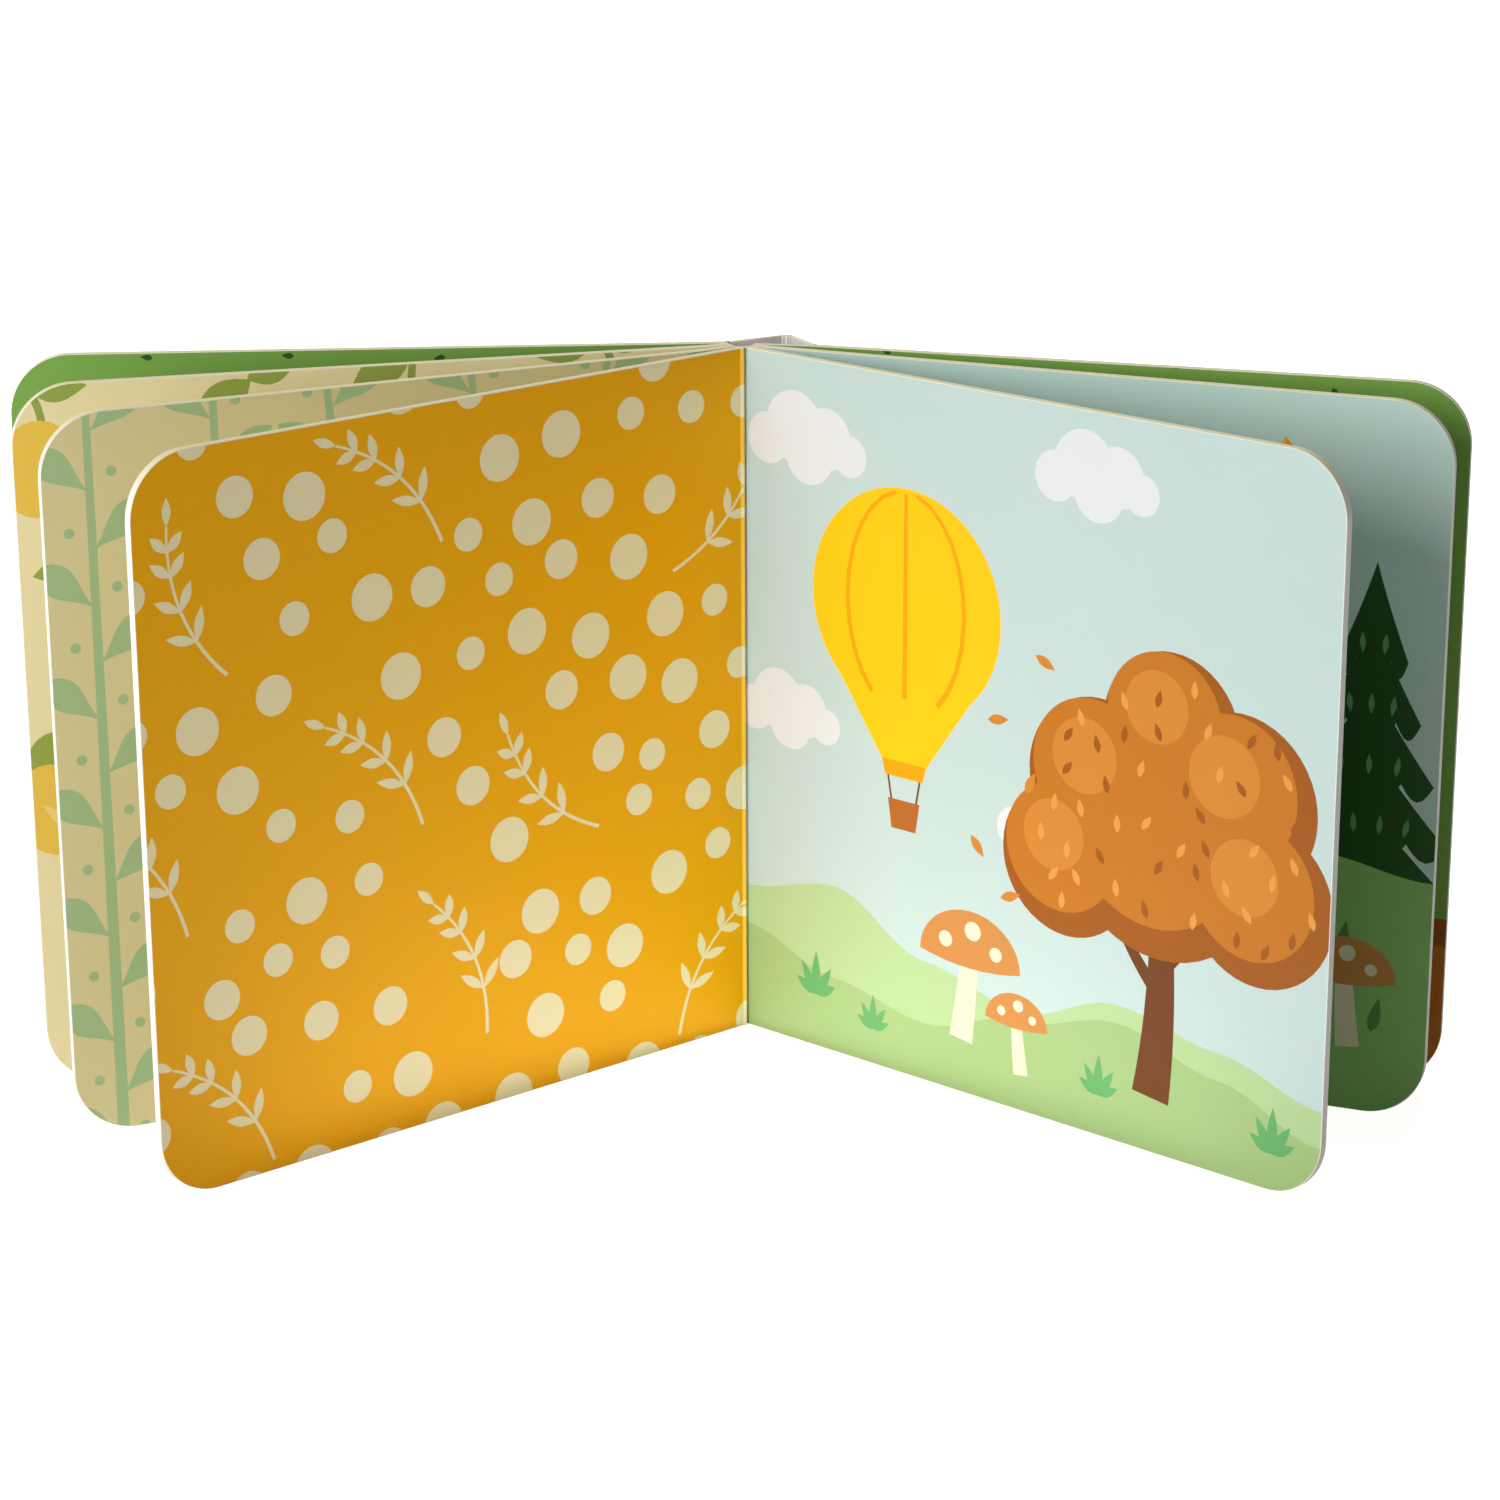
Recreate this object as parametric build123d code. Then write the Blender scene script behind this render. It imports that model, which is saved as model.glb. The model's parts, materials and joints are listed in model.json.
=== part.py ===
"""A square board book, stood on its bottom edges, opened in the middle and fanned.

Six board spreads are folded print side inwards and glued back to back. That gives five full leaves
and two half-thick outer sheets, which are pasted to a wrap-around card cover with a hollow back.

Frame: +Z is up, X runs across the open book and -Y points at the reader. The origin is at the foot
of the middle fold, halfway through its sheet. Every outline below is drawn in plan and stood up.
"""

import math
import os

from build123d import *

# Trim size
page_height = 152.4
leaf_width = 150.6
corner_radius = 13.0

# Board and card
sheet = 0.92
card = 0.90
leaf = 2 * sheet

# Fan of the full leaves. Angles are in degrees from the plane across the gutter towards the reader.
# A leaf leaves its fold at the root angle, runs straight, bends, then lies flat at its own angle.
left_fan = [
    {"root_angle": 58.0, "root_run": 1.0, "bend_run": 1.0, "angle": 39.4},
    {"root_angle": 38.0, "root_run": 0.5, "bend_run": 10.2, "angle": 24.0},
    {"root_angle": 24.0, "root_run": 0.5, "bend_run": 6.8, "angle": 14.0},
]
right_fan = [
    {"root_angle": 43.0, "root_run": 0.9, "bend_run": 0.7, "angle": 41.2},
    {"root_angle": 26.0, "root_run": 0.5, "bend_run": 6.0, "angle": 22.2},
]
glue_notch = 0.35

# Covers
front_cover_angle = 3.6
back_cover_angle = 16.4
back_stub_angle = 10.8
back_stub_run = 11.8
hinge_strip_run = 10.3
fold_land_run = 1.3
fold_land_turn = 36.0
fold_clearance = 1.0
stub_clearance = 0.6
crease_gap = 0.2
crease_thickness = 0.4
crease_bevel = 0.8
open_pivot_gap = 0.7
knuckle_margin = 6.0
score_width = 1.2
score_depth = 0.25
ridge_width = 0.7
ridge_height = 0.2

# The closed block, with its two half leaves and two covers, sets how wide the spine is
full_leaves = len(left_fan) + len(right_fan)
spine_run = full_leaves * leaf + 2 * sheet + 2 * card

LEFT = -1
RIGHT = 1


def along(side, angle):
    """Plan direction from the gutter outwards, for a leaf at an angle."""
    turn = math.radians(angle)
    return Vector(side * math.cos(turn), -math.sin(turn))


def behind(side, angle):
    """Plan direction from a leaf's front face through to its back."""
    turn = math.radians(angle)
    return Vector(side * math.sin(turn), math.cos(turn))


def leaf_points(root, side, fan, depth):
    """The places where a leaf's face at some depth changes from run to bend to flat, and its end."""
    start_angle, angle = fan["root_angle"], fan["angle"]
    radius = fan["bend_run"] / math.radians(start_angle - angle)
    centre = root + along(side, start_angle) * fan["root_run"] + behind(side, start_angle) * radius
    middle_angle = (start_angle + angle) / 2
    flat_run = leaf_width - fan["root_run"] - fan["bend_run"]
    start = root + behind(side, start_angle) * depth
    bend_start = centre - behind(side, start_angle) * (radius - depth)
    bend_middle = centre - behind(side, middle_angle) * (radius - depth)
    bend_end = centre - behind(side, angle) * (radius - depth)
    end = bend_end + along(side, angle) * flat_run
    return start, bend_start, bend_middle, bend_end, end


def leaf_outline(root, side, fan):
    """One leaf's outline from its front fold round the fore-edge to its back fold, and that fold."""
    start, bend_start, bend_middle, bend_end, end = leaf_points(root, side, fan, 0)
    back, back_start, back_middle, back_bend_end, back_end = leaf_points(root, side, fan, leaf)
    edges = [
        Line(start, bend_start),
        ThreePointArc(bend_start, bend_middle, bend_end),
        Line(bend_end, end),
        Line(end, back_end),
        Line(back_end, back_bend_end),
        ThreePointArc(back_bend_end, back_middle, back_start),
        Line(back_start, back),
    ]
    return edges, back, (end + back_end) / 2


def fan_folds(root, side, fans):
    """The fold in front of each leaf, and last the one behind them all."""
    folds = [root]
    for fan in fans:
        folds.append(folds[-1] + behind(side, fan["root_angle"]) * leaf)
    return folds


def bound_end(side, folds, fans, last_angle):
    """The rounded backs of a side's folded sheets, from the middle fold to the outermost one."""
    notches = [
        fold + behind(side, fan["root_angle"]) * sheet - along(side, fan["root_angle"]) * glue_notch
        for fold, fan in zip(folds, fans)
    ]
    split = folds[-1] + behind(side, last_angle) * sheet
    edges = []
    for index in range(1, len(fans)):
        mean_angle = (fans[index - 1]["root_angle"] + fans[index]["root_angle"]) / 2
        crown = folds[index] - along(side, mean_angle) * sheet
        edges.append(ThreePointArc(notches[index - 1], crown, notches[index]))
    outward = (behind(side, last_angle) - along(side, last_angle)).normalized()
    edges.append(ThreePointArc(notches[-1], folds[-1] + outward * sheet, split))
    edges.append(Line(split, folds[-1]))
    return edges, notches[0]


def round_fore_edge(board, fore_edge):
    """Rounds the two corners of the board that ends at this plan point."""
    for height in (0, page_height):
        corner = Vector(fore_edge.X, fore_edge.Y, height)
        edge = board.edges().sort_by_distance(corner)[0]
        board = fillet(edge, corner_radius)
    return board


def stand_up(edges):
    """A closed plan outline, raised to the height of the page."""
    return extrude(make_face(edges), amount=page_height)


def polygon(points):
    """Straight edges round a list of plan points."""
    return [Line(start, end) for start, end in zip(points, points[1:] + points[:1])]


# The folds, from the middle one outwards
middle_fold = Vector(0, -sheet / 2)
left_folds = fan_folds(middle_fold, LEFT, left_fan)
right_folds = fan_folds(middle_fold, RIGHT, right_fan)


def make_pages():
    """The five full leaves and their bound end, one glued block."""
    edges = []
    fore_edges = []
    for side, folds, fans in ((LEFT, left_folds, left_fan), (RIGHT, right_folds, right_fan)):
        for fold, fan in zip(folds, fans):
            outline, _, fore_edge = leaf_outline(fold, side, fan)
            edges += outline
            fore_edges.append(fore_edge)
    left_back, left_notch = bound_end(LEFT, left_folds, left_fan, front_cover_angle)
    right_back, right_notch = bound_end(RIGHT, right_folds, right_fan, back_stub_angle)
    middle_crown = middle_fold + Vector(0, sheet)
    edges += left_back + right_back + [ThreePointArc(left_notch, middle_crown, right_notch)]
    block = stand_up(edges)
    for fore_edge in fore_edges:
        block = round_fore_edge(block, fore_edge)
    return block


# Front cover: its crease lies straight behind the outermost left fold, on the card's outside
front_fold = left_folds[-1]
front_out = along(LEFT, front_cover_angle)
front_back = behind(LEFT, front_cover_angle)
front_crease = front_fold + front_back * (sheet + card)


def on_front(run, depth):
    """A plan point on the front cover: run from its crease, depth behind the green page."""
    return front_fold + front_out * run + front_back * depth


def make_front_pastedown():
    """The outer half of the first spread, pasted inside the front cover."""
    corners = [
        on_front(fold_clearance, 0),
        on_front(leaf_width, 0),
        on_front(leaf_width, sheet),
        on_front(fold_clearance, sheet),
    ]
    return round_fore_edge(stand_up(polygon(corners)), (corners[1] + corners[2]) / 2)


def make_front_cover():
    """The front panel of the card cover, thinned at its crease and scored as far out as the back one."""
    outside = sheet + card
    score_run = fold_land_run + hinge_strip_run
    corners = [
        on_front(crease_gap + crease_bevel, sheet),
        on_front(leaf_width, sheet),
        on_front(leaf_width, outside),
        on_front(score_run + score_width / 2, outside),
        on_front(score_run, outside - score_depth),
        on_front(score_run - score_width / 2, outside),
        on_front(crease_gap, outside),
        on_front(crease_gap, outside - crease_thickness),
    ]
    return round_fore_edge(stand_up(polygon(corners)), (corners[1] + corners[2]) / 2)


# Back cover: the outermost right sheet swings on its fold as a free stub, then joins the card
back_fold = right_folds[-1]
stub_out = along(RIGHT, back_stub_angle)
stub_back = behind(RIGHT, back_stub_angle)
back_out = along(RIGHT, back_cover_angle)
back_back = behind(RIGHT, back_cover_angle)
stub_hinge = back_fold + stub_back * (sheet / 2) + stub_out * (stub_clearance + sheet / 2)
stub_end = stub_hinge + stub_out * back_stub_run
back_crease = stub_end + back_back * (sheet / 2 + card)
back_panel_run = leaf_width - stub_clearance - sheet / 2 - back_stub_run


def on_back(run, depth):
    """A plan point on the back cover: run from its crease, depth in front of its outside."""
    return back_crease + back_out * run - back_back * depth


def make_back_pastedown():
    """The outer half of the last spread: a free stub from the fold, then pasted to the cover."""
    half = sheet / 2
    mitre = half * math.tan(math.radians(back_cover_angle - back_stub_angle) / 2)
    edges = polygon(
        [
            stub_hinge - stub_back * half,
            stub_end - stub_back * half + stub_out * mitre,
            on_back(back_panel_run, card + sheet),
            on_back(back_panel_run, card),
            stub_end + stub_back * half - stub_out * mitre,
            stub_hinge + stub_back * half,
        ]
    )
    edges[-1] = ThreePointArc(
        stub_hinge + stub_back * half, stub_hinge - stub_out * half, stub_hinge - stub_back * half
    )
    return round_fore_edge(stand_up(edges), on_back(back_panel_run, card + half))


def make_back_cover():
    """The back panel of the card cover, from the crease where the hinge strip folds up."""
    corners = [
        on_back(crease_gap, 0),
        on_back(back_panel_run, 0),
        on_back(back_panel_run, card),
        on_back(crease_gap + crease_bevel, card),
        on_back(crease_gap, crease_thickness),
    ]
    return round_fore_edge(stand_up(polygon(corners)), (corners[1] + corners[2]) / 2)


# Hollow back: the spine panel and the hinge strip close the loop between the two covers. The spine
# ends in a narrow land between two scores. The strip folds at the land's far side about the inside
# of the card, and the other two folds turn about its outside.
link_run = spine_run + fold_land_run * math.cos(math.radians(fold_land_turn))
link_drop = card + fold_land_run * math.sin(math.radians(fold_land_turn))
spine_link = math.hypot(link_run, link_drop)
strip_link = math.hypot(hinge_strip_run, card)
reach = back_crease - front_crease
reach_angle = math.degrees(math.atan2(reach.Y, reach.X))
spine_corner = math.degrees(
    math.acos((spine_link**2 + reach.length**2 - strip_link**2) / (2 * spine_link * reach.length))
)
spine_fold = front_crease + Vector(spine_link, 0).rotate(Axis.Z, reach_angle + spine_corner)
link_lean = math.degrees(math.atan2(link_drop, link_run))
spine_out = Vector(1, 0).rotate(Axis.Z, reach_angle + spine_corner + link_lean)
spine_back = Vector(-spine_out.Y, spine_out.X)
land_out = spine_out.rotate(Axis.Z, -fold_land_turn)
land_back = Vector(-land_out.Y, land_out.X)
spine_score = spine_fold - land_out * fold_land_run
fold_to_crease = back_crease - spine_fold
strip_lean = math.degrees(math.atan2(card, hinge_strip_run))
strip_out = fold_to_crease.normalized().rotate(Axis.Z, -strip_lean)
strip_back = Vector(-strip_out.Y, strip_out.X)
fold_turn = land_out.get_angle(strip_out)


def ridge(start, end, outward):
    """The raised line that a score leaves on the inside of the card."""
    return ThreePointArc(start, (start + end) / 2 - outward * ridge_height, end)


def make_spine():
    """The spine panel, thinned at the front crease, with its scored land rounded into the back fold."""
    knuckle_turn = fold_turn - knuckle_margin
    knuckle_end = spine_fold + land_back.rotate(Axis.Z, -knuckle_turn) * card
    knuckle_crown = spine_fold + land_back.rotate(Axis.Z, -knuckle_turn / 2) * card
    score_out = spine_back.rotate(Axis.Z, -fold_land_turn / 2)
    start = front_crease + spine_out * crease_gap
    bevel_end = front_crease + spine_out * (crease_gap + crease_bevel) - spine_back * card
    fold_ridge_end = spine_fold - land_out * ridge_width
    score_ridge_start = spine_score + land_out * ridge_width / 2
    score_ridge_end = spine_score - spine_out * ridge_width / 2
    edges = [
        Line(start, spine_score + spine_back * card),
        ThreePointArc(
            spine_score + spine_back * card, spine_score + score_out * card, spine_score + land_back * card
        ),
        Line(spine_score + land_back * card, spine_fold + land_back * card),
        ThreePointArc(spine_fold + land_back * card, knuckle_crown, knuckle_end),
        Line(knuckle_end, spine_fold),
        ridge(spine_fold, fold_ridge_end, land_back),
        Line(fold_ridge_end, score_ridge_start),
        ridge(score_ridge_start, score_ridge_end, score_out),
        Line(score_ridge_end, bevel_end),
        Line(bevel_end, start - spine_back * crease_thickness),
        Line(start - spine_back * crease_thickness, start),
    ]
    return stand_up(edges)


def make_hinge_strip():
    """The strip of card beside the spine that isn't pasted down, between the two back folds."""
    inside_start = spine_fold + strip_out * open_pivot_gap
    outside_end = back_crease - strip_out * crease_gap
    corners = [
        inside_start,
        inside_start + strip_back * card,
        outside_end,
        outside_end - strip_back * crease_thickness,
        outside_end - strip_out * crease_bevel - strip_back * card,
    ]
    return stand_up(polygon(corners))


def report_joints():
    """Prints the places that the record's joints turn about, in millimetres."""
    for name, point in (
        ("front crease", front_crease),
        ("stub hinge", stub_hinge),
        ("back crease", back_crease),
        ("spine fold", spine_fold),
    ):
        print(name, round(point.X, 4), round(point.Y, 4))


os.makedirs("parts", exist_ok=True)
export_step(make_pages(), "parts/pages.step")
export_step(make_front_pastedown(), "parts/front_pastedown.step")
export_step(make_front_cover(), "parts/front_cover.step")
export_step(make_spine(), "parts/spine.step")
export_step(make_hinge_strip(), "parts/hinge_strip.step")
export_step(make_back_pastedown(), "parts/back_pastedown.step")
export_step(make_back_cover(), "parts/back_cover.step")
report_joints()
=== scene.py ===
"""A square board book, printed in flat colours, standing open and fanned on a white floor.

Each board is first drawn flat, in millimetres: x runs from its fold to the fore-edge, y up the page
and depth from its front face to its back. It is then bent along its own plan curve. A page's print
is a list of coloured shapes that are cut into the page's mesh, so each colour keeps a crisp edge.
"""

import json
import math
import random

import bpy
from mathutils import Matrix, Vector
from mathutils.geometry import delaunay_2d_cdt, intersect_line_line_2d


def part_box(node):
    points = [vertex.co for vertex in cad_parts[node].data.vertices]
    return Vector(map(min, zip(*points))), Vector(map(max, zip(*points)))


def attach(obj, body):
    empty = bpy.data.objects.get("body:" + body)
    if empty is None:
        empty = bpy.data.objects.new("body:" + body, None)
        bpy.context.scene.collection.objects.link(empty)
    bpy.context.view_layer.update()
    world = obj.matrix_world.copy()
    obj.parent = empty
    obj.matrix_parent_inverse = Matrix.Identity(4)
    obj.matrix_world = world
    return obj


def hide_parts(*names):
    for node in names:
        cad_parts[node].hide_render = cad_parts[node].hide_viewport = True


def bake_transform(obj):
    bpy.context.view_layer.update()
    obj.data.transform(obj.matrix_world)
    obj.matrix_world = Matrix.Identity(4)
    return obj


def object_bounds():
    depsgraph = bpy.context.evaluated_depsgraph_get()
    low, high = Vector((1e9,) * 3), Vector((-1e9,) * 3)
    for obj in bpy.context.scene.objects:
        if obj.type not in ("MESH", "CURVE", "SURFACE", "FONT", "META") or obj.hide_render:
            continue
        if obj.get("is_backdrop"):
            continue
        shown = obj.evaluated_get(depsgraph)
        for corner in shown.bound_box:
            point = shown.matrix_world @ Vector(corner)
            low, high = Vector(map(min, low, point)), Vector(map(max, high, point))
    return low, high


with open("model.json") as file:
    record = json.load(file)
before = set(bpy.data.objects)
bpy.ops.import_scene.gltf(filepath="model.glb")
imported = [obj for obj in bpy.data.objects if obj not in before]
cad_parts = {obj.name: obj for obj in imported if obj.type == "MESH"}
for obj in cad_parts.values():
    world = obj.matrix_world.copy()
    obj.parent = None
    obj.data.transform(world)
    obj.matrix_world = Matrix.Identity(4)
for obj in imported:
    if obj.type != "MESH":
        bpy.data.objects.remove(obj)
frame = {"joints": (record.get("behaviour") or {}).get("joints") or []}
cad_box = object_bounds()

MM = 0.001
LEFT = -1
RIGHT = 1

# The book's own sizes, in millimetres and degrees, as the solids have them
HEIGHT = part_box("pages")[1].z / MM
WIDTH = 150.6
CORNER = 13.0
SHEET = 0.92
CARD = 0.90
LEAF = 2 * SHEET
FOLD_CLEARANCE = 1.0
STUB_CLEARANCE = 0.6
STUB_HINGE = STUB_CLEARANCE + SHEET / 2
STUB_RUN = 11.8
STRIP_RUN = 10.3
LAND_RUN = 1.3
LAND_TURN = 36.0
FRONT_SCORE = LAND_RUN + STRIP_RUN
CREASE_GAP = 0.2
CREASE_BEVEL = 0.8
CREASE_THICKNESS = 0.4
OPEN_FOLD_GAP = 0.7
KNUCKLE_MARGIN = 6.0
SCORE_WIDTH = 1.2
SCORE_DEPTH = 0.25
RIDGE_WIDTH = 0.7
RIDGE_HEIGHT = 0.2
FRONT_ANGLE = 3.6
BACK_ANGLE = 16.4
STUB_ANGLE = 10.8

# How each leaf leaves its fold: angle at the fold, straight run, bend and angle at the fore-edge
LEFT_FAN = [(58.0, 1.0, 1.0, 39.4), (38.0, 0.5, 10.2, 24.0), (24.0, 0.5, 6.8, 14.0)]
RIGHT_FAN = [(43.0, 0.9, 0.7, 41.2), (26.0, 0.5, 6.0, 22.2)]

# Fine forms at the folds. The lip is (foot, crest, end, height), run from the gutter.
GUTTER_LIP = (0.2, 0.85, 1.65, 0.5)
CREASE_TIP = 0.02
KNUCKLE_RUN = 0.25
SKIN_RUN = 2.0
STUB_BEND = 2.0
SHARP_BEND = 0.02
BEAD_RADIUS = 0.26
CREASE_STATIONS = [CREASE_GAP, CREASE_GAP + CREASE_BEVEL]

# Finish of the boards
ARRIS = 0.16
GLUE_LINE = 0.05
BEND_STEP = 0.6
BEND_STEPS_LEAST = 8
CORNER_STEPS = 20

# A rounded corner's curve stays within this share of its radius of the box round the page
CORNER_REACH = 0.3

# How far a print's ground, and the painted highlight bands, run past the page's edges
OVERRUN = 1.0

# Flat places are rounded to this many decimals, and nearer ones are joined
PLACES = 4
JOINED = 0.0003

# Bent places, in metres, are one place if they agree to this many decimals
BENT_PLACES = 8


def along(side, angle):
    """Plan direction from the gutter outwards, for a board at an angle."""
    turn = math.radians(angle)
    return Vector((side * math.cos(turn), -math.sin(turn)))


def behind(side, angle):
    """Plan direction from a board's front face through to its back."""
    turn = math.radians(angle)
    return Vector((side * math.sin(turn), math.cos(turn)))


class Path:
    """A board's plan curve: straight from its fold, with bends as (start, length, angle after)."""

    def __init__(self, root, side, angle, *bends):
        self.root = root
        self.side = side
        self.angle = angle
        self.bends = bends

    def angle_at(self, x):
        """The board's angle at a run from its fold."""
        angle = self.angle
        for start, length, after in self.bends:
            angle += (after - angle) * min(max((x - start) / length, 0.0), 1.0)
        return angle

    def point(self, x, depth):
        """The plan point at a run from the fold and a depth behind the front face."""
        place = self.root.copy()
        angle = self.angle
        here = 0.0
        for start, length, after in self.bends:
            if x > start:
                place += along(self.side, angle) * (start - here)
                here = min(x, start + length)
                reached = angle + (after - angle) * (here - start) / length
                turn = behind(self.side, angle) - behind(self.side, reached)
                place += turn * length / math.radians(angle - after)
                angle = reached
        place += along(self.side, angle) * (x - here)
        return place + behind(self.side, angle) * depth

    def stations(self):
        """Runs from the fold at which a bent board needs points."""
        runs = []
        for start, length, _ in self.bends:
            steps = max(BEND_STEPS_LEAST, round(length / BEND_STEP))
            runs += [start + length * step / steps for step in range(steps + 1)]
        return runs


def fan_paths(side, fans):
    """The path of each leaf on one side, and the fold behind them all."""
    fold = Vector((0.0, -SHEET / 2))
    paths = []
    for root_angle, run, bend, angle in fans:
        paths.append(Path(fold.copy(), side, root_angle, (run, bend, angle)))
        fold += behind(side, root_angle) * LEAF
    return paths, fold


left_paths, front_fold = fan_paths(LEFT, LEFT_FAN)
right_paths, back_fold = fan_paths(RIGHT, RIGHT_FAN)
front_path = Path(front_fold, LEFT, FRONT_ANGLE)
joints = {joint["name"]: Vector(joint["pos_m"][:2]) / MM for joint in frame["joints"]}
front_crease = joints["front_cover_hinge"]
back_crease = joints["hinge_strip_fold"]
back_root = back_crease - behind(RIGHT, BACK_ANGLE) * (CARD + SHEET)
back_path = Path(back_root, RIGHT, BACK_ANGLE)
back_run = WIDTH - STUB_HINGE - STUB_RUN
stub_bend = (STUB_HINGE + STUB_RUN - STUB_BEND / 2, STUB_BEND, BACK_ANGLE)
stub_path = Path(back_fold, RIGHT, STUB_ANGLE, stub_bend)


# Shapes for the prints, as (ink, points) in page millimetres


def laid(points, x, y, degrees):
    """Points turned anticlockwise and moved to (x, y)."""
    turn = math.radians(degrees)
    ahead, across = math.cos(turn), math.sin(turn)
    return [(x + u * ahead - v * across, y + u * across + v * ahead) for u, v in points]


def disc(ink, x, y, radius, rise=None, turn=0.0, steps=28):
    """A round or oval spot."""
    rise = radius if rise is None else rise
    ring = []
    for step in range(steps):
        bearing = math.tau * step / steps
        ring.append((radius * math.cos(bearing), rise * math.sin(bearing)))
    return ink, laid(ring, x, y, turn)


def petal(ink, x, y, length, width, turn, point=0.35, steps=9):
    """A leaf shape from its stalk at (x, y), widest at a share of its length."""
    power = math.log(0.5) / math.log(point)
    edge = []
    for step in range(steps + 1):
        share = step / steps
        edge.append((length * share, width / 2 * math.sin(math.pi * share**power)))
    return ink, laid(edge + [(u, -v) for u, v in reversed(edge[1:-1])], x, y, turn)


def curve(start, control, end, steps=10):
    """Points on a quadratic curve."""
    points = []
    for step in range(steps + 1):
        t = step / steps
        a, b, c = (1 - t) ** 2, 2 * t * (1 - t), t**2
        points.append(tuple(a * p + b * q + c * r for p, q, r in zip(start, control, end)))
    return points


def stroke(ink, points, width, taper=1.0):
    """A line of some width along a list of points, narrowing to a share of it."""
    ahead, back = [], []
    for index, here in enumerate(points):
        before = points[max(index - 1, 0)]
        after = points[min(index + 1, len(points) - 1)]
        way = Vector((after[0] - before[0], after[1] - before[1])).normalized()
        half = width / 2 * (1 + (taper - 1) * index / (len(points) - 1))
        ahead.append((here[0] - way.y * half, here[1] + way.x * half))
        back.append((here[0] + way.y * half, here[1] - way.x * half))
    return ink, ahead + back[::-1]


def hill(ink, heights, steps=10):
    """Ground from the foot of the page up to a smooth line through heights at even spacing."""
    count = len(heights) - 1
    ring = [(WIDTH + OVERRUN, -OVERRUN), (-OVERRUN, -OVERRUN), (-OVERRUN, heights[0])]
    for index in range(count):
        for step in range(steps):
            share = step / steps
            ease = (1 - math.cos(math.pi * share)) / 2
            x = WIDTH * (index + share) / count
            ring.append((x, heights[index] + (heights[index + 1] - heights[index]) * ease))
    return ink, ring + [(WIDTH + OVERRUN, heights[-1])]


def upright_band(ink, left, right):
    """A stripe over the full height of a page."""
    low, high = -OVERRUN, HEIGHT + OVERRUN
    return ink, [(left, low), (right, low), (right, high), (left, high)]


def cloud(ink, x, y, size):
    """A heap of discs."""
    lobes = (
        (-1.15, 0.0, 0.62),
        (-0.35, 0.38, 0.86),
        (0.62, 0.22, 0.74),
        (1.32, -0.08, 0.5),
        (0.1, -0.22, 0.72),
    )
    return [disc(ink, x + u * size, y + v * size, r * size) for u, v, r in lobes]


def strewn(spread, rows, columns, across, up, stray):
    """Places in loose rows. Across and up are (first, pitch, shift of odd rows or columns)."""
    for row in range(rows):
        for column in range(columns):
            x = across[0] + column * across[1] + row % 2 * across[2]
            y = up[0] + row * up[1] + column % 2 * up[2]
            yield x + spread.uniform(-stray[0], stray[0]), y + spread.uniform(-stray[1], stray[1])


# Prints of the spreads. Each is a base ink and the shapes on it, later ones on top.


def print_green(seed):
    """Plain green with small dark seeds."""
    spread = random.Random(seed)
    shapes = []
    for x, y in strewn(spread, 8, 5, (16, 30, 15), (11, 20, 0), (3, 1.5)):
        shapes.append(petal("seed", x, y, 2.6, 1.3, spread.uniform(0, 360), steps=5))
    return "grass_green", shapes


def print_leaf_pile(seed):
    """Green, with a heap of amber leaves in the corner by the fore-edge."""
    spread = random.Random(seed)
    base, shapes = print_green(seed)
    for ink, heap in (
        ("amber_dark", ((122, 4, 17), (148, 12, 26), (136, 2, 24))),
        ("amber", ((124, 2, 12), (147, 12, 20), (136, 2, 17))),
    ):
        for x, y, radius in heap:
            shapes.append(disc(ink, x, y, radius, steps=40))
    tries, middle, reach = 26, 142, 27
    for _ in range(tries):
        x = spread.uniform(112, 150)
        y = spread.uniform(0, 26)
        ink = spread.choice(("amber_light", "amber_dark"))
        if math.hypot(x - middle, y) < reach:
            shapes.append(petal(ink, x, y, 6.5, 2.8, spread.uniform(0, 360), 0.45, 6))
    return base, shapes


def print_orchard(seed):
    """Cream, with big yellow fruit on thin green stalks among pointed leaves."""
    spread = random.Random(seed)
    shapes = []
    for x, y in strewn(spread, 4, 4, (8, 40, 20), (22, 38, 0), (3, 3)):
        lean = spread.uniform(-25, 25)
        top = (x + 16 * math.sin(math.radians(lean)), y + 17)
        shapes.append(stroke("leaf_green", curve((x, y), (x - 3, y + 10), top), 1.6))
        shapes.append(petal("leaf_green", *top, 15, 7.5, lean - 20, 0.45))
        shapes.append(petal("leaf_green", *top, 12, 6.5, lean + 175, 0.45))
        shapes.append(disc("fruit_yellow", x, y, 8.6, 10.2, lean))
        shapes.append(petal("fruit_light", x - 4, y - 5, 9, 2.4, lean + 62, 0.5))
    return "cream", shapes


def print_fronds(seed):
    """A darker copy of the cream as painted shade, with tall sage fronds of alternate blunt leaves
    and buds.
    """
    spread = random.Random(seed)
    shapes = []
    fronds, leaves = 6, 14
    for column in range(fronds):
        foot = 6 + column * 27 + spread.uniform(-2, 2)
        sway = spread.uniform(-9, 9)
        line = curve((foot, -4), (foot + sway, 76), (foot - sway / 2, 160), leaves)
        shapes.append(stroke("sage", line, 2.6, 0.6))
        for index in range(leaves):
            x, y = line[index]
            hand = 1 if (index + column) % 2 else -1
            shapes.append(petal("sage", x, y, 15.5, 6.6, 90 - hand * 50, 0.64, 12))
            shapes.append(disc("sage", x - hand * 4.6, y + 4.0, 1.1, steps=14))
    return "cream_shade", shapes


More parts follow.
